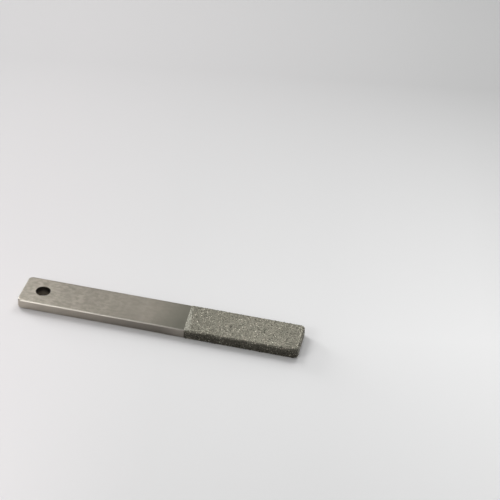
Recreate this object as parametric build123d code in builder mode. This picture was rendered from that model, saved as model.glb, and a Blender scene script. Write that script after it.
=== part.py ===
from build123d import *
import os

# A dressing stick: a flat steel bar with a hanging hole in its tail and a diamond-plated working end.
# Millimetres. The bar lies flat along X, with its tail at -X and its plated tip at +X, and Z is up.
# The origin is below the middle of the whole stick, level with the underside of the plating.

# Steel bar
bar_length = 84.0
bar_width = 12.0
bar_thickness = 3.0
tail_corner_radius = 1.4
tip_corner_radius = 1.3
bar_edge_round = 0.45

# Hanging hole
hole_diameter = 4.2
hole_from_tail = 6.2
hole_edge_break = 0.12

# Plating, whose thicknesses are measured outwards from the bar's surface
plated_length = 33.8
grit_thickness = 0.15
band_length = 1.5
band_thickness = 0.08

# Places along the bar, and its level above what the plating rests on
tail_x = -(bar_length + grit_thickness) / 2
tip_x = tail_x + bar_length
hole_x = tail_x + hole_from_tail
band_start_x = tip_x - plated_length
grit_start_x = band_start_x + band_length
bar_underside_z = grit_thickness


def straight_outline(start_x, end_x, width):
    """Draws a square-cornered outline on the bar's centre line, as seen from above."""
    with Locations(((start_x + end_x) / 2, 0)):
        Rectangle(end_x - start_x, width)


# The bar: its outline with rounded corners, every outside edge rounded over, and the hanging hole
with BuildPart() as steel_blank:
    with BuildSketch(Plane.XY.offset(bar_underside_z)):
        straight_outline(tail_x, tip_x, bar_width)
        fillet(vertices().group_by(Axis.X)[0], tail_corner_radius)
        fillet(vertices().group_by(Axis.X)[-1], tip_corner_radius)
    extrude(amount=bar_thickness)
    fillet(faces().filter_by(Axis.Z).edges(), bar_edge_round)
    edges_before_hole = edges()
    with Locations((hole_x, 0, bar_underside_z)):
        Hole(hole_diameter / 2)
    hole_rims = (edges() - edges_before_hole).filter_by(GeomType.CIRCLE)
    chamfer(hole_rims, hole_edge_break)

steel_blank.part.label = "steel_blank"

# The plating: a sleeve closed at the tip, as thick as the grit, behind a thinner band of bare nickel.
# Both are drawn as the bar's own outline grown by the plating, and the bar is then taken out of them.
with BuildPart() as diamond_plating:
    with BuildSketch(Plane.XY):
        straight_outline(grit_start_x, tip_x + grit_thickness, bar_width + 2 * grit_thickness)
        fillet(vertices().group_by(Axis.X)[-1], tip_corner_radius + grit_thickness)
    extrude(amount=bar_thickness + 2 * grit_thickness)
    outside_edges = faces().filter_by(Axis.Z).edges().group_by(Axis.X)[1:]
    fillet(outside_edges, bar_edge_round + grit_thickness)
    with BuildSketch(Plane.YZ.offset(band_start_x)):
        with Locations((0, bar_underside_z + bar_thickness / 2)):
            RectangleRounded(
                bar_width + 2 * band_thickness,
                bar_thickness + 2 * band_thickness,
                bar_edge_round + band_thickness,
            )
    extrude(amount=band_length)
    add(steel_blank.part, mode=Mode.SUBTRACT)

diamond_plating.part.label = "diamond_plating"

os.makedirs("parts", exist_ok=True)
export_step(steel_blank.part, "parts/steel_blank.step")
export_step(diamond_plating.part, "parts/diamond_plating.step")
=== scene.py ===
import math

import bmesh
import bpy
import numpy as np
from mathutils import Matrix, Vector, kdtree, noise


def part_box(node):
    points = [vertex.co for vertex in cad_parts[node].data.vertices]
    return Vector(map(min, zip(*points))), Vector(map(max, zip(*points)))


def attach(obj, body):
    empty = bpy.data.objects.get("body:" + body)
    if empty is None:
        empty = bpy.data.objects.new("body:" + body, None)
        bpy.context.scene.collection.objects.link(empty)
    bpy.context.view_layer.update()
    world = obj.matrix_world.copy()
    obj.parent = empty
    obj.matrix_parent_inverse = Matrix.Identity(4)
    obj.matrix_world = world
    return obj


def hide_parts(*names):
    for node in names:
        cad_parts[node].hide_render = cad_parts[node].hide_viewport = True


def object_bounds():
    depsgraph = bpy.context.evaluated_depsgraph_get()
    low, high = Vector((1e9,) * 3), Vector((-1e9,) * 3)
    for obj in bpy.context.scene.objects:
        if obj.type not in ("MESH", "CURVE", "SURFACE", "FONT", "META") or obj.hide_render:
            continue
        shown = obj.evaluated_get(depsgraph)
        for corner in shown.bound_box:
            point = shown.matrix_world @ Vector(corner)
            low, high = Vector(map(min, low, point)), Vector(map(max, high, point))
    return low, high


# A dressing stick: a flat satin steel bar with a hanging hole, and a working end plated with diamond grit.
# Everything is in metres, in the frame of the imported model: +X towards the plated tip, +Z up.

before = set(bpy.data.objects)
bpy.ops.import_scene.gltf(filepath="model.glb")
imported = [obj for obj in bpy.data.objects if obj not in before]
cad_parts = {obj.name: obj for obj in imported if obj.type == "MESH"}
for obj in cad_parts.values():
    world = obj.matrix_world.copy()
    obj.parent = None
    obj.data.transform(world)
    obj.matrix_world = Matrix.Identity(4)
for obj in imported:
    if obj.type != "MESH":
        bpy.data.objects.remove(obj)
cad_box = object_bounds()

MM = 0.001
GRAIN_SEED = 4
LENGTHWISE = (1.0, 0.0, 0.0)
CROSSWISE = (0.0, 1.0, 0.0)
UPWARD = (0.0, 0.0, 1.0)

# The bar and the room for its plating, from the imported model
bar_low, bar_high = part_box("steel_blank")
sleeve_low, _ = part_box("diamond_plating")
grit_height = bar_low.z - sleeve_low.z
plating_start_x = sleeve_low.x
half_width = bar_high.y
middle_z = (bar_low.z + bar_high.z) / 2
half_thickness = bar_high.z - middle_z

# The plated part of the bar
plated_low = np.array((plating_start_x, -half_width, bar_low.z))
plated_high = np.array(bar_high)
plated_size = plated_high - plated_low

# The same corners and hole as the bar has
tip_corner_radius = 1.3 * MM
edge_round = 0.45 * MM
hole_x = bar_low.x + 6.2 * MM
hole_radius = 2.1 * MM
hole_edge_break = 0.12 * MM

# The nickel: its height over the bar, and the uneven line where it begins
nickel_height = 0.055 * MM
nickel_rise = 0.25 * MM
nickel_cell = 0.16 * MM
nickel_unevenness = 0.022 * MM
nickel_waves_per_mm = 2.3
nickel_fillet = 0.045 * MM
nickel_lip_depth = 0.02 * MM
nickel_inside_depth = 0.03 * MM
start_slant = -0.049
start_wander = 0.09 * MM
start_waves_per_mm = 0.9

# The grains: the room each has, its size, and how far behind the nickel's start they begin
grain_spacing = 0.33 * MM
grain_radius = 0.215 * MM
grain_radius_spread = 0.28
grain_unevenness = 0.03 * MM
grain_least_rise = 0.02 * MM
grain_corners = 9
grain_corner_reach = (0.8, 1.1)
grain_shapes = 24
grain_tries = 60000
smooth_band_far = 0.2 * MM
smooth_band_near = 1.6 * MM
smooth_band_side = 0.3 * MM
border_fuzz = 0.35 * MM
stray_share = 0.04

# The camera, in degrees: the point that it looks at, and where it stands from there
camera_target = Vector((17.85, 40.33, 1.5)) * MM
camera_distance = 497.5 * MM
camera_azimuth = -10.18
camera_elevation = 35.72
camera_roll = 3.94
camera_lens = 115.2
camera_sensor = 36.0

# The distances at which the soft boxes stand from the stick, each with its boxes' size
close_by = (0.2, 0.06)
near_by = (0.35, 0.12)
far_off = (0.75, 0.26)

# The even light of the room
room_strength = 0.3386
room_colour = (1.0, 1.0, 1.0, 1.0)

# How fine the textures are: texture units in a metre, along each axis
cloud_scale = (260, 420, 420)
band_scale = (330, 70, 70)
mottle_scale = (600, 900, 900)
brushing_scale = (1500, 9000, 9000)
pit_scale = (5200, 5200, 5200)
patch_scale = (1800, 1800, 1800)
frost_scale = (11000, 11000, 11000)
chip_scale = (9000, 9000, 9000)
side_line_scale = (300, 60, 60)

# How deep the textures' bumps are, and how strongly they show
mottle_relief = (0.05 * MM, 0.35)
brushing_relief = (0.004 * MM, 0.5)
pit_relief = (0.006 * MM, 0.4)
frost_relief = (0.02 * MM, 0.6)
chip_relief = (0.015 * MM, 0.5)

# Spans of a noise's values, of which nearly all lie in the widest
narrow_noise = (0.4, 0.6)
middle_noise = (0.35, 0.65)
wide_noise = (0.3, 0.7)

# Spans of the normal's Z, and of its mix with the other directions, where a face turns into an edge
face_tilt = (0.5, 0.9)
edge_tilt = (0.02, 0.16)

# Stretches over which the looks change, counted from the slanted line where the nickel begins
# Where the painted light and shade on the steel's sides changes
side_stretch = (-50 * MM, 0.0)
near_side_stretch = (-38 * MM, -22 * MM)
mottling_stretch = (-36 * MM, -16 * MM)
# Where the painted shade on the steel by the nickel grows
end_shade_stretch = (-13 * MM, -1.5 * MM)
# Where the edges' polish and their painted highlight fade towards the nickel
edge_polish_and_highlight_fade_stretch = (-8 * MM, -1 * MM)
# Where the painted light on the grit fades out along the coat
painted_grit_light_stretch = (3 * MM, 20 * MM)
dark_tip_start = (27.5 * MM, 31 * MM)
dark_tip_end = (32.8 * MM, 33.2 * MM)
# Where the painted highlight on the grains along the tip's edge begins and ends
beads_start = (32.8 * MM, 33.1 * MM)
beads_end = (33.6 * MM, 33.8 * MM)
# Where the tip's face begins; it is kept out of the sides' painted shade, so it shows lighter as painted
# light
tip_face_start = (33.35 * MM, 33.65 * MM)

# Stretches counted from elsewhere: the line where the grains begin, the tail, the hole and the bar's faces
bright_nickel_stretch = (-0.5 * MM, 0.8 * MM)
# Where the painted shade on the tail's corner fades out
tail_stretch = (bar_low.x + 0.3 * MM, bar_low.x + 1.5 * MM)
bore_stretch = (hole_radius + hole_edge_break, hole_radius + 0.15 * MM)
rim_stretch = (hole_radius + 0.15 * MM, hole_radius + 0.3 * MM)
# The heights over which the bore's painted shade changes
bore_heights = (bar_low.z + 0.3 * MM, bar_high.z - 0.6 * MM)
side_line_heights = (half_thickness - 0.5 * MM, half_thickness - 0.15 * MM)
side_line_wander = 0.25 * MM

# The steel's colours
cloud_tones = [(0.3, (0.226, 0.209, 0.173)), (0.7, (0.314, 0.282, 0.242))]
bright_mottle = (0.370, 0.336, 0.285)
dark_band = (0.209, 0.2025, 0.167)
# Painted shade: the near side of the upper face, darker towards the nickel
near_side_painted_shade = (0.1875, 0.1735, 0.145)
# Painted shade on the steel's broad faces by the nickel, deepest on the near side
end_shade_tones = [(0.0, (0.155, 0.148, 0.12)), (1.0, (0.122, 0.119, 0.097))]
# Painted light and shade on the steel's sides: lightest at the tail, darkest near the nickel, a little
# lighter just before it
side_light_and_shade_tones = [
    (0.1, (0.48, 0.438, 0.380)),
    (0.7, (0.232, 0.211, 0.187)),
    (0.86, (0.196, 0.178, 0.158)),
    (0.96, (0.30, 0.273, 0.243)),
]
# Painted highlight: a brighter colour along the rounded edges
painted_edge_highlight = (0.49, 0.457, 0.408)
# Painted shade on the edge at the tail's corner
tail_corner_shade_colour = (0.22, 0.207, 0.185)
# Painted shade in the bore: dark at the top, and lighter at its foot as painted bounced light
bore_shade_tones = [(0.0, (0.42, 0.37, 0.30)), (0.7, (0.09, 0.08, 0.066)), (1.0, (0.045, 0.040, 0.034))]

# How much of them shows, and which part of the width counts as the near side
near_side_width = (0.4, 1.0)
mottle_share = 0.45
mottle_left_by_coat = 0.4
band_share = 0.28
near_side_shade_share = 0.3
side_light_and_shade_share = 0.85
edge_polish_and_highlight_left_by_coat = 0.6

# The steel's roughness, from its dark clouds to its bright ones, and how the edges and the hole's rim differ
steel_roughness = (0.37, 0.31)
edge_polish = 0.02
rim_dullness = 0.16

# The nickel's colours and roughness
nickel_tones = [(0.3, (0.123, 0.118, 0.095)), (0.7, (0.194, 0.185, 0.150))]
# Painted shade: the nickel darker on the sides
nickel_side_shade = (0.088, 0.082, 0.067)
bare_nickel = (0.315, 0.31, 0.265)
bare_nickel_least = 0.35
nickel_roughness = (0.52, 0.40)

# The grains' colours, from the darkest grain to the brightest, and their roughness
top_grain_tones = [
    (0.0, (0.037, 0.035, 0.028)),
    (0.3, (0.120, 0.122, 0.097)),
    (0.5, (0.392, 0.334, 0.286)),
    (0.75, (0.440, 0.440, 0.352)),
    (1.0, (0.62, 0.556, 0.475)),
]
# Painted shade: darker, more speckled tones for the grains on the sides
side_grain_shade_tones = [
    (0.0, (0.0062, 0.0057, 0.0048)),
    (0.45, (0.042, 0.039, 0.0315)),
    (0.55, (0.183, 0.172, 0.139)),
    (1.0, (0.411, 0.388, 0.315)),
]
# Painted light: grains lighter towards the start of the coat
painted_grit_light = (0.353, 0.339, 0.282)
painted_grit_light_share = 0.25
# Painted highlight on some grains along the tip's top edge
bead_highlight_colour = (0.92, 0.89, 0.76)
bead_highlight_share = 0.9
bead_grains = (0.35, 0.5)
grit_roughness = 0.45

# What darkens the coat towards its tip
tip_shade = (0.0, 0.0, 0.0)
tip_shade_share = 0.17

# The floor: its size, its colours from left to right as the camera sees it, and the stretches they go over.
# The colours hold painted light and shade: lighter to the right, darker towards the back.
floor_reach = 3.0
floor_roughness = 0.9
floor_specular = 0.15
floor_front = [
    (0.0, (0.735, 0.715, 0.72)),
    (0.33, (0.757, 0.753, 0.753)),
    (0.67, (0.843, 0.843, 0.843)),
    (1.0, (0.98, 0.98, 0.98)),
]
floor_back = [(0.0, (0.537, 0.528, 0.531)), (1.0, (0.492, 0.492, 0.492))]
floor_far = (0.95, 0.95, 0.95)
floor_to_right = (-45 * MM, 95 * MM)
floor_to_back = (0.0, 150 * MM)
floor_to_far = (260 * MM, 700 * MM)


def heading(azimuth, elevation):
    """The unit vector at an azimuth, clockwise from +Y as seen from above, and an elevation, in degrees."""
    turn, rise = math.radians(azimuth), math.radians(elevation)
    return Vector((math.sin(turn) * math.cos(rise), math.cos(turn) * math.cos(rise), math.sin(rise)))


def new_material(name, metallic=0.0):
    """Makes a material with nodes, and returns it with its node tree and its principled shader."""
    material = bpy.data.materials.new(name)
    material.use_nodes = True
    shader = material.node_tree.nodes["Principled BSDF"]
    shader.inputs["Metallic"].default_value = metallic
    return material, material.node_tree, shader


def add_node(tree, kind, **settings):
    """Adds a node and sets its properties, and its inputs where the name is one of theirs."""
    node = tree.nodes.new(kind)
    for name, value in settings.items():
        if name in node.inputs:
            node.inputs[name].default_value = value
        else:
            setattr(node, name, value)
    return node


def place_texture(tree, stretch=(1, 1, 1)):
    """Object coordinates in metres, or in texture units, of which the stretch gives the number in a metre."""
    coordinates = add_node(tree, "ShaderNodeTexCoord")
    mapping = add_node(tree, "ShaderNodeMapping", Scale=stretch)
    tree.links.new(coordinates.outputs["Object"], mapping.inputs["Vector"])
    return mapping.outputs["Vector"]


def noise_texture(tree, stretch, detail=3.0):
    """A noise of about one feature per texture unit, stretched by place_texture."""
    texture = add_node(tree, "ShaderNodeTexNoise", Scale=1.0, Detail=detail, Roughness=0.55)
    tree.links.new(place_texture(tree, stretch), texture.inputs["Vector"])
    return texture.outputs["Fac"]


def ramp(tree, source, stops):
    """Turns a value into a colour, from a list of (place, colour)."""
    node = add_node(tree, "ShaderNodeValToRGB")
    elements = node.color_ramp.elements
    while len(elements) < len(stops):
        elements.new(0.5)
    for element, (place, colour) in zip(elements, stops):
        element.position = place
        element.color = (*colour, 1.0)
    tree.links.new(source, node.inputs["Fac"])
    return node.outputs["Color"]


def remap(tree, source, span, new_low, new_high):
    """Moves a value from a span, given as its two ends, to a new one."""
    node = add_node(tree, "ShaderNodeMapRange")
    for name, value in zip(("From Min", "From Max", "To Min", "To Max"), (*span, new_low, new_high)):
        node.inputs[name].default_value = value
    tree.links.new(source, node.inputs["Value"])
    return node.outputs["Result"]


def rising(tree, source, span, most=1.0):
    """0 up to the start of a span of values, and the most from its end on."""
    return remap(tree, source, span, 0.0, most)


def falling(tree, source, span, least=0.0):
    """1 up to the start of a span of values, and the least from its end on."""
    return remap(tree, source, span, 1.0, least)


def calculate(tree, operation, first, second=0.0):
    """A sum on two values, each a number or a node's output."""
    node = add_node(tree, "ShaderNodeMath", operation=operation)
    for socket, value in zip(node.inputs, (first, second)):
        if isinstance(value, (int, float)):
            socket.default_value = value
        else:
            tree.links.new(value, socket)
    return node.outputs["Value"]


def product(tree, first, *others):
    """Several values multiplied together."""
    for other in others:
        first = calculate(tree, "MULTIPLY", first, other)
    return first


def rest_of(tree, share):
    """What a share leaves of 1."""
    return calculate(tree, "SUBTRACT", 1.0, share)


def blend(tree, share, colour, other):
    """Goes from one colour to another as the share goes from 0 to 1.
    The other may be plain red, green and blue."""
    node = add_node(tree, "ShaderNodeMix", data_type="RGBA")
    tree.links.new(share, node.inputs["Factor"])
    tree.links.new(colour, node.inputs[6])
    if isinstance(other, tuple):
        node.inputs[7].default_value = (*other, 1.0)
    else:
        tree.links.new(other, node.inputs[7])
    return node.outputs[2]


def bump(tree, height, relief, normal=None):
    """A bump from a height, with a depth and a strength, on top of another bump if one is given."""
    distance, strength = relief
    node = add_node(tree, "ShaderNodeBump", Strength=strength, Distance=distance)
    tree.links.new(height, node.inputs["Height"])
    if normal is not None:
        tree.links.new(normal, node.inputs["Normal"])
    return node.outputs["Normal"]


def along(tree, line):
    """How far a place lies from the origin along a line, given by its direction, in metres."""
    node = add_node(tree, "ShaderNodeVectorMath", operation="DOT_PRODUCT")
    node.inputs[1].default_value = line
    tree.links.new(place_texture(tree), node.inputs[0])
    return node.outputs["Value"]


def past_the_start(tree):
    """How far a place lies past the slanted line where the nickel begins, in metres."""
    return calculate(tree, "SUBTRACT", along(tree, (1.0, -start_slant, 0.0)), plating_start_x)


def past_the_grit_start(tree):
    """How far a place on the upper face lies past the line where the grains begin, in metres."""
    slant = start_slant + (smooth_band_far - smooth_band_near) / (2 * half_width)
    middle = plating_start_x + (smooth_band_far + smooth_band_near) / 2
    return calculate(tree, "SUBTRACT", along(tree, (1.0, -slant, 0.0)), middle)


def from_upright(tree, x):
    """How far a place lies from an upright line through the middle of the bar's width, in metres."""
    away = add_node(tree, "ShaderNodeVectorMath", operation="MULTIPLY_ADD")
    away.inputs[1].default_value = (1.0, 1.0, 0.0)
    away.inputs[2].default_value = (-x, 0.0, 0.0)
    tree.links.new(place_texture(tree), away.inputs[0])
    length = add_node(tree, "ShaderNodeVectorMath", operation="LENGTH")
    tree.links.new(away.outputs["Vector"], length.inputs[0])
    return length.outputs["Value"]


def upward_normal(tree):
    """How far the surface faces up: 1 on top, 0 on the sides and -1 below."""
    geometry = add_node(tree, "ShaderNodeNewGeometry")
    parts = add_node(tree, "ShaderNodeSeparateXYZ")
    tree.links.new(geometry.outputs["Normal"], parts.inputs["Vector"])
    return parts.outputs["Z"]


def facing_up(tree):
    """1 on the upper face, and 0 on the sides and below."""
    return rising(tree, upward_normal(tree), face_tilt)


def on_faces(tree):
    """1 on the two broad faces, and 0 on the sides."""
    return rising(tree, calculate(tree, "ABSOLUTE", upward_normal(tree)), face_tilt)


def on_edges(tree):
    """1 where the surface turns over an edge, and 0 on the faces and the sides."""
    upward = upward_normal(tree)
    square = product(tree, upward, upward)
    return rising(tree, product(tree, square, rest_of(tree, square)), edge_tilt)


def on_sides(tree):
    """1 on the two long sides, and 0 on the broad faces and the face of the tip."""
    level = calculate(tree, "ABSOLUTE", calculate(tree, "SUBTRACT", along(tree, UPWARD), middle_z))
    side_noise = noise_texture(tree, side_line_scale)
    wander = remap(tree, side_noise, middle_noise, -side_line_wander, side_line_wander)
    low = falling(tree, calculate(tree, "ADD", level, wander), side_line_heights)
    # The tip's face is kept out of the sides' painted shade, which leaves it lighter as painted light
    return product(tree, low, falling(tree, past_the_start(tree), tip_face_start))


def near_the_tip(tree):
    """How much darker the broad faces are towards the tip, up to the tip's own edge."""
    past = past_the_start(tree)
    begun = rising(tree, past, dark_tip_start, tip_shade_share)
    return product(tree, begun, falling(tree, past, dark_tip_end), rest_of(tree, on_sides(tree)))


def steel_faces(tree, clouds, mottle, past):
    """The colours of the bar's broad faces: clouds, mottling and bands, with painted shade on the near side
    and at the end by the nickel."""
    across = rising(tree, along(tree, CROSSWISE), (half_width, -half_width))
    mottling = product(tree, remap(tree, mottle, narrow_noise, -mottle_share, mottle_share),
                       falling(tree, past, mottling_stretch, mottle_left_by_coat))
    bands = noise_texture(tree, band_scale, detail=2.0)
    # Painted shade on the near side of the upper face, growing towards the nickel
    near_side_shade = product(tree, rising(tree, across, near_side_width, near_side_shade_share),
                        rising(tree, past, near_side_stretch))
    # Painted shade on the broad faces by the nickel
    end_shade = product(tree, on_faces(tree), rising(tree, past, end_shade_stretch))
    colour = ramp(tree, clouds, cloud_tones)
    colour = blend(tree, calculate(tree, "ADD", mottling, mottle_share), colour, bright_mottle)
    colour = blend(tree, rising(tree, bands, middle_noise, band_share), colour, dark_band)
    colour = blend(tree, near_side_shade, colour, near_side_painted_shade)
    return blend(tree, end_shade, colour, ramp(tree, across, end_shade_tones))


def satin_steel():
    """Tumbled stainless steel: soft clouds and fine grain, and polished edges with a painted highlight.
    Painted shade darkens the tail's corner, the bore, the near side and the end by the nickel; painted light
    at the bore's foot, and painted light and shade along the sides."""
    material, tree, shader = new_material("satin_steel", metallic=1.0)
    clouds = noise_texture(tree, cloud_scale)
    mottle = noise_texture(tree, mottle_scale)
    past = past_the_start(tree)
    faces = on_faces(tree)
    from_hole = from_upright(tree, hole_x)
    rim = falling(tree, from_hole, rim_stretch)
    # The edges: their polish, and a painted highlight that fades towards the nickel and stops at the hole's
    # rim
    edges = product(tree, on_edges(tree), rest_of(tree, rim),
                    falling(tree, past, edge_polish_and_highlight_fade_stretch, edge_polish_and_highlight_left_by_coat))
    # Painted shade on the upper edge at the tail's corner
    tail_corner_shade = product(tree, falling(tree, along(tree, LENGTHWISE), tail_stretch), edges, faces)
    # Painted light and shade along the sides
    painted_side_light_and_shade = ramp(tree, rising(tree, past, side_stretch), side_light_and_shade_tones)
    # Painted shade in the bore, with painted light at its foot
    bore_shade = ramp(tree, rising(tree, along(tree, UPWARD), bore_heights), bore_shade_tones)
    colour = steel_faces(tree, clouds, mottle, past)
    colour = blend(tree, product(tree, rest_of(tree, faces), side_light_and_shade_share), colour, painted_side_light_and_shade)
    colour = blend(tree, edges, colour, painted_edge_highlight)
    colour = blend(tree, tail_corner_shade, colour, tail_corner_shade_colour)
    colour = blend(tree, falling(tree, from_hole, bore_stretch), colour, bore_shade)
    tree.links.new(colour, shader.inputs["Base Color"])
    rough = remap(tree, clouds, wide_noise, *steel_roughness)
    rough = calculate(tree, "SUBTRACT", rough, product(tree, edges, edge_polish))
    rough = calculate(tree, "ADD", rough, product(tree, rim, rim_dullness))
    tree.links.new(rough, shader.inputs["Roughness"])
    normal = bump(tree, mottle, mottle_relief)
    normal = bump(tree, noise_texture(tree, brushing_scale, detail=2.0), brushing_relief, normal)
    normal = bump(tree, noise_texture(tree, pit_scale), pit_relief, normal)
    tree.links.new(normal, shader.inputs["Normal"])
    return material


def dull_nickel():
    """The plated nickel: a warm grey metal with a fine frosted surface, brightest where it begins, with
    painted shade on its sides.
    """
    material, tree, shader = new_material("dull_nickel", metallic=1.0)
    patches = noise_texture(tree, patch_scale)
    bright = product(tree, falling(tree, past_the_grit_start(tree), bright_nickel_stretch), facing_up(tree),
                     remap(tree, patches, narrow_noise, bare_nickel_least, 1.0))
    colour = ramp(tree, patches, nickel_tones)
    # Painted shade on the sides
    colour = blend(tree, on_sides(tree), colour, nickel_side_shade)
    colour = blend(tree, bright, colour, bare_nickel)
    colour = blend(tree, near_the_tip(tree), colour, tip_shade)
    tree.links.new(colour, shader.inputs["Base Color"])
    tree.links.new(remap(tree, patches, wide_noise, *nickel_roughness), shader.inputs["Roughness"])
    frost = noise_texture(tree, frost_scale, detail=2.0)
    tree.links.new(bump(tree, frost, frost_relief), shader.inputs["Normal"])
    return material


def diamond_grit():
    """The grains: hard grey crystals, each of its own tone.
    Those on the sides get darker, more speckled tones as painted shade. Those near the start are painted
    lighter, and some along the tip's edge carry a painted highlight."""
    material, tree, shader = new_material("diamond_grit", metallic=1.0)
    shader.inputs["Roughness"].default_value = grit_roughness
    each = add_node(tree, "ShaderNodeNewGeometry").outputs["Random Per Island"]
    past = past_the_start(tree)
    sides = on_sides(tree)
    off_sides = rest_of(tree, sides)
    # Painted light on the grains near the coat's start
    painted_grit_light_mask = product(tree, remap(tree, past, painted_grit_light_stretch, painted_grit_light_share, 0.0), off_sides)
    # Painted highlight on grains along the tip's top edge
    bead_highlight = product(tree, rising(tree, past, beads_start, bead_highlight_share), falling(tree, past, beads_end),
                    off_sides, rising(tree, each, bead_grains))
    # Painted shade on the grains of the sides
    colour = blend(tree, sides, ramp(tree, each, top_grain_tones), ramp(tree, each, side_grain_shade_tones))
    colour = blend(tree, painted_grit_light_mask, colour, painted_grit_light)
    colour = blend(tree, near_the_tip(tree), colour, tip_shade)
    colour = blend(tree, bead_highlight, colour, bead_highlight_colour)
    tree.links.new(colour, shader.inputs["Base Color"])
    chips = noise_texture(tree, chip_scale, detail=1.0)
    tree.links.new(bump(tree, chips, chip_relief), shader.inputs["Normal"])
    return material


def pale_floor():
    """Pale seamless paper with painted light and shade: a little darker on the left and towards the back, and
    even farther out.
    """
    material, tree, shader = new_material("pale_floor")
    shader.inputs["Roughness"].default_value = floor_roughness
    shader.inputs["Specular IOR Level"].default_value = floor_specular
    back = heading(camera_azimuth, 0.0)
    to_right = rising(tree, along(tree, (back.y, -back.x, 0.0)), floor_to_right)
    to_back = rising(tree, along(tree, back), floor_to_back)
    to_far = rising(tree, from_upright(tree, 0.0), floor_to_far)
    colour = blend(tree, to_back, ramp(tree, to_right, floor_front), ramp(tree, to_right, floor_back))
    colour = blend(tree, to_far, colour, floor_far)
    tree.links.new(colour, shader.inputs["Base Color"])
    return material


def lengths_of(vectors):
    """The lengths of vectors, never quite zero, so that they can divide."""
    return np.maximum(np.linalg.norm(vectors, axis=1), 1e-12)


def over_bar(points, height):
    """Moves points that lie on a plain box round the bar to its rounded surface, raised by a height.
    Returns them with the directions that face out there."""
    high = plated_high - edge_round
    low_z = bar_low.z + edge_round
    corner = tip_corner_radius - edge_round
    plan = points[:, :2]
    inner = np.stack([np.minimum(plan[:, 0], high[0] - corner),
                      np.clip(plan[:, 1], -high[1] + corner, high[1] - corner)], 1)
    away = plan - inner
    shrink = np.minimum(1.0, corner / lengths_of(away))
    core = np.column_stack([inner + away * shrink[:, None], np.clip(points[:, 2], low_z, high[2])])
    facing = points - core
    facing /= lengths_of(facing)[:, None]
    return core + facing * (edge_round + np.asarray(height))[:, None], facing


def nickel_start(points):
    """Where the nickel begins along the bar, beside each point: a slanted line that wanders a little."""
    wander = np.array([noise.noise(Vector((y, z, 0.0)) / MM * start_waves_per_mm) for _, y, z in points])
    return plating_start_x + start_slant * points[:, 1] + start_wander * wander


def grit_start(points, facing):
    """Where the grains begin along the bar: far behind the nickel's near corner on top, and close to it
    elsewhere."""
    across = (half_width - points[:, 1]) / (2 * half_width)
    on_top = smooth_band_far + (smooth_band_near - smooth_band_far) * np.clip(across, 0, 1)
    upward = np.clip(facing[:, 2], 0, 1)
    return nickel_start(points) + smooth_band_side + (on_top - smooth_band_side) * upward


def spaced_out(places):
    """Goes through the places in order, and returns the numbers of those that keep their distance from all
    that were kept before."""
    cells = {}
    kept = []
    for index, key in enumerate(map(tuple, np.floor(places / grain_spacing).astype(int))):
        near = [other for x in (-1, 0, 1) for y in (-1, 0, 1) for z in (-1, 0, 1)
                for other in cells.get((key[0] + x, key[1] + y, key[2] + z), ())]
        if near and np.min(np.linalg.norm(places[near] - places[index], axis=1)) < grain_spacing:
            continue
        cells.setdefault(key, []).append(index)
        kept.append(index)
    return kept


def scatter_grains(generator):
    """Picks places for the grains on the plated surface, with the directions that face out there."""
    sides = [(2, plated_high), (2, plated_low), (1, plated_high), (1, plated_low), (0, plated_high)]
    areas = np.array([np.delete(plated_size, axis).prod() for axis, _ in sides])
    chosen = generator.choice(len(sides), grain_tries, p=areas / areas.sum())
    points = plated_low + generator.random((grain_tries, 3)) * plated_size
    for number, (axis, limit) in enumerate(sides):
        points[chosen == number, axis] = limit[axis]
    places, facing = over_bar(points, np.full(grain_tries, nickel_height))
    border = grit_start(places, facing) + border_fuzz * generator.exponential(1.0, grain_tries)
    stray = generator.random(grain_tries) < stray_share
    inside = (places[:, 0] > border) | (stray & (places[:, 0] > nickel_start(places) + nickel_rise))
    places, facing = places[inside], facing[inside]
    kept = spaced_out(places)
    return places[kept], facing[kept]


def grain_shape(generator):
    """One angular crystal of about unit radius, as its corners and triangles."""
    corners = generator.normal(size=(grain_corners, 3))
    corners /= np.linalg.norm(corners, axis=1)[:, None]
    corners *= generator.uniform(*grain_corner_reach, (grain_corners, 1))
    shape = bmesh.new()
    for corner in corners:
        shape.verts.new(corner)
    hull = bmesh.ops.convex_hull(shape, input=shape.verts)
    inner = [part for part in hull["geom_interior"] if isinstance(part, bmesh.types.BMVert)]
    bmesh.ops.delete(shape, geom=inner, context="VERTS")
    shape.verts.index_update()
    shape.verts.ensure_lookup_table()
    vertices = np.array([v.co for v in shape.verts])
    triangles = np.array([[v.index for v in face.verts] for face in shape.faces])
    shape.free()
    return vertices, triangles


def random_turns(generator, count):
    """Random rotation matrices."""
    w, x, y, z = generator.normal(size=(4, count))
    length = np.sqrt(w * w + x * x + y * y + z * z)
    w, x, y, z = w / length, x / length, y / length, z / length
    rows = [
        [1 - 2 * (y * y + z * z), 2 * (x * y - z * w), 2 * (x * z + y * w)],
        [2 * (x * y + z * w), 1 - 2 * (x * x + z * z), 2 * (y * z - x * w)],
        [2 * (x * z - y * w), 2 * (y * z + x * w), 1 - 2 * (x * x + y * y)],
    ]
    return np.array(rows).transpose(2, 0, 1)


def make_object(name, vertices, faces, material, smooth=False):
    """A mesh object with one material."""
    mesh = bpy.data.meshes.new(name)
    mesh.from_pydata(vertices.tolist(), [], faces if isinstance(faces, list) else faces.tolist())
    mesh.materials.append(material)
    mesh.polygons.foreach_set("use_smooth", np.full(len(mesh.polygons), smooth))
    mesh.update()
    made = bpy.data.objects.new(name, mesh)
    bpy.context.scene.collection.objects.link(made)
    return made


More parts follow.
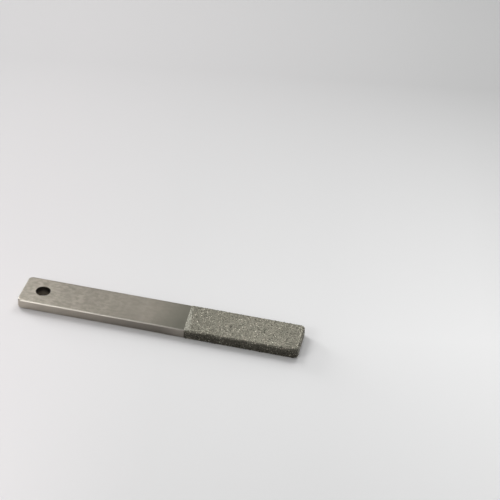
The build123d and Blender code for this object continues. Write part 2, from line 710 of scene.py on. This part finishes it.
def build_grains(generator, places, facing, material):
    """All the grains as one piece, each sunk in the nickel by part of its own height."""
    shapes = [grain_shape(generator) for _ in range(grain_shapes)]
    turns = random_turns(generator, len(places))
    radii = grain_radius * (1 + grain_radius_spread * generator.uniform(-1, 1, len(places)))
    tops = generator.normal(grit_height, grain_unevenness, len(places))
    tops = np.clip(tops, nickel_height + grain_least_rise, grit_height + grain_unevenness)
    which = generator.integers(grain_shapes, size=len(places))
    vertices, triangles, count = [], [], 0
    for shape_index, (corners, sides) in enumerate(shapes):
        chosen = np.flatnonzero(which == shape_index)
        turned = np.einsum("nij,vj->nvi", turns[chosen], corners) * radii[chosen][:, None, None]
        rise = np.einsum("nvi,ni->nv", turned, facing[chosen]).max(1)
        lift = tops[chosen] - nickel_height - rise
        middle = places[chosen] + facing[chosen] * lift[:, None]
        vertices.append((turned + middle[:, None]).reshape(-1, 3))
        offsets = count + np.arange(len(chosen)) * len(corners)
        triangles.append((sides[None] + offsets[:, None, None]).reshape(-1, 3))
        count += len(chosen) * len(corners)
    return make_object("diamond_grains", np.concatenate(vertices), np.concatenate(triangles), material)


def box_skin(cells_x, cells_y, cells_z):
    """The skin of a box from its open start to its closed tip: its points as shares of its size along each
    axis, its faces, and how many points go round it."""
    around = [(j / cells_y, 1.0) for j in range(cells_y)]
    around += [(1.0, 1 - k / cells_z) for k in range(cells_z)]
    around += [(1 - j / cells_y, 0.0) for j in range(cells_y)]
    around += [(0.0, k / cells_z) for k in range(cells_z)]
    loop = len(around)
    shares = [(i / cells_x, y, z) for i in range(cells_x + 1) for y, z in around]
    faces = []
    for i in range(cells_x):
        for j in range(loop):
            a, b = i * loop + j, i * loop + (j + 1) % loop
            faces.append((a, b, b + loop, a + loop))
    last_loop = cells_x * loop
    place = {(round(y * cells_y), round(z * cells_z)): last_loop + n for n, (y, z) in enumerate(around)}
    for j in range(1, cells_y):
        for k in range(1, cells_z):
            place[j, k] = len(shares)
            shares.append((1.0, j / cells_y, k / cells_z))
    for j in range(cells_y):
        for k in range(cells_z):
            faces.append((place[j, k + 1], place[j + 1, k + 1], place[j + 1, k], place[j, k]))
    return np.array(shares), faces, loop


def build_nickel(places, material):
    """The nickel layer: a closed skin round the bar that begins in an uneven line and swells a little round
    each grain."""
    cells = [max(2, round(length / nickel_cell)) for length in plated_size]
    shares, faces, loop = box_skin(*cells)
    points = plated_low + shares * plated_size
    begin = nickel_start(points)
    points[:, 0] = begin + shares[:, 0] * (bar_high.x - begin)
    tree = kdtree.KDTree(len(places))
    for index, place in enumerate(places):
        tree.insert(place, index)
    tree.balance()
    on_skin, _ = over_bar(points, np.full(len(points), nickel_height))
    gap = np.array([tree.find(point)[2] for point in on_skin])
    swell = np.clip(1 - gap / grain_spacing, 0, 1) ** 2
    uneven = np.array([noise.noise(Vector(point) / MM * nickel_waves_per_mm) for point in on_skin])
    height = nickel_height + nickel_unevenness * uneven + nickel_fillet * swell
    rise = np.clip((points[:, 0] - begin) / nickel_rise, 0, 1)
    height *= np.sqrt(rise * (2 - rise))
    height[:loop] = -nickel_lip_depth
    outer, _ = over_bar(points, height)
    inner, _ = over_bar(points, np.full(len(points), -nickel_inside_depth))
    count = len(outer)
    faces = faces + [tuple(count + v for v in reversed(face)) for face in faces]
    faces += [(count + j, count + (j + 1) % loop, (j + 1) % loop, j) for j in range(loop)]
    return make_object("nickel_layer", np.concatenate([outer, inner]), faces, material, smooth=True)


def build_plating():
    """The plated end: the nickel layer and the grains that stand out of it."""
    generator = np.random.default_rng(GRAIN_SEED)
    places, facing = scatter_grains(generator)
    grains = build_grains(generator, places, facing, diamond_grit())
    nickel = build_nickel(places, dull_nickel())
    for piece in (nickel, grains):
        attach(piece, "root")
        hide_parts("diamond_plating")


def build_floor():
    """A wide pale floor under the stick."""
    corners = np.array([(-1, -1, 0), (1, -1, 0), (1, 1, 0), (-1, 1, 0)]) * floor_reach
    corners[:, 2] = cad_box[0].z
    floor = make_object("floor", corners, [(0, 1, 2, 3)], pale_floor())


def add_softbox(name, azimuth, elevation, stand, power):
    """A square soft lamp that faces the stick from a stand: its distance and the lamp's size.
    Its azimuth is measured clockwise from the camera's line of sight."""
    distance, side = stand
    towards = heading(azimuth + camera_azimuth, elevation)
    lamp = bpy.data.lights.new(name, "AREA")
    lamp.shape = "SQUARE"
    lamp.size = side
    lamp.energy = power
    made = bpy.data.objects.new(name, lamp)
    made.location = towards * distance
    made.rotation_euler = towards.to_track_quat("Z", "Y").to_euler()
    bpy.context.scene.collection.objects.link(made)


def light_room():
    """Soft boxes mostly behind and to the left, as in the photograph, in an even, dim room."""
    world = bpy.data.worlds.new("room")
    world.use_nodes = True
    background = world.node_tree.nodes["Background"]
    background.inputs["Color"].default_value = room_colour
    background.inputs["Strength"].default_value = room_strength
    bpy.context.scene.world = world
    add_softbox("key", -40, 50, near_by, 0.2927)
    add_softbox("key_low", -60, 35, near_by, 0.0361)
    add_softbox("key_low_inner", -40, 35, near_by, 0.0177)
    add_softbox("back_right", 20, 50, near_by, 0.2386)
    add_softbox("back_right_low", 20, 35, near_by, 0.0849)
    add_softbox("back_left_far", -25, 32, far_off, 0.3356)
    add_softbox("left_low", -50, 12, far_off, 3.0491)
    add_softbox("right_low", 25, 12, far_off, 0.3958)
    add_softbox("right_low_outer", 75, 12, far_off, 0.2073)
    add_softbox("front_left_high", -140, 60, near_by, 0.0196)
    add_softbox("front_left", -135, 35, close_by, 0.0784)
    add_softbox("front_left_low", -135, 15, close_by, 0.0274)


def aim_camera():
    """The camera, at the photograph's place."""
    forward = heading(camera_azimuth, -camera_elevation)
    camera = bpy.data.objects.new("camera", bpy.data.cameras.new("camera"))
    camera.data.lens = camera_lens
    camera.data.sensor_width = camera_sensor
    roll = Matrix.Rotation(math.radians(camera_roll), 4, "Z")
    turn = forward.to_track_quat("-Z", "Y").to_matrix().to_4x4() @ roll
    camera.matrix_world = Matrix.Translation(camera_target - forward * camera_distance) @ turn
    bpy.context.scene.collection.objects.link(camera)
    bpy.context.scene.camera = camera


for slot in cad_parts["steel_blank"].material_slots:
    slot.material = satin_steel()
build_plating()
build_floor()
light_room()
aim_camera()
bpy.context.scene.view_settings.view_transform = "Standard"
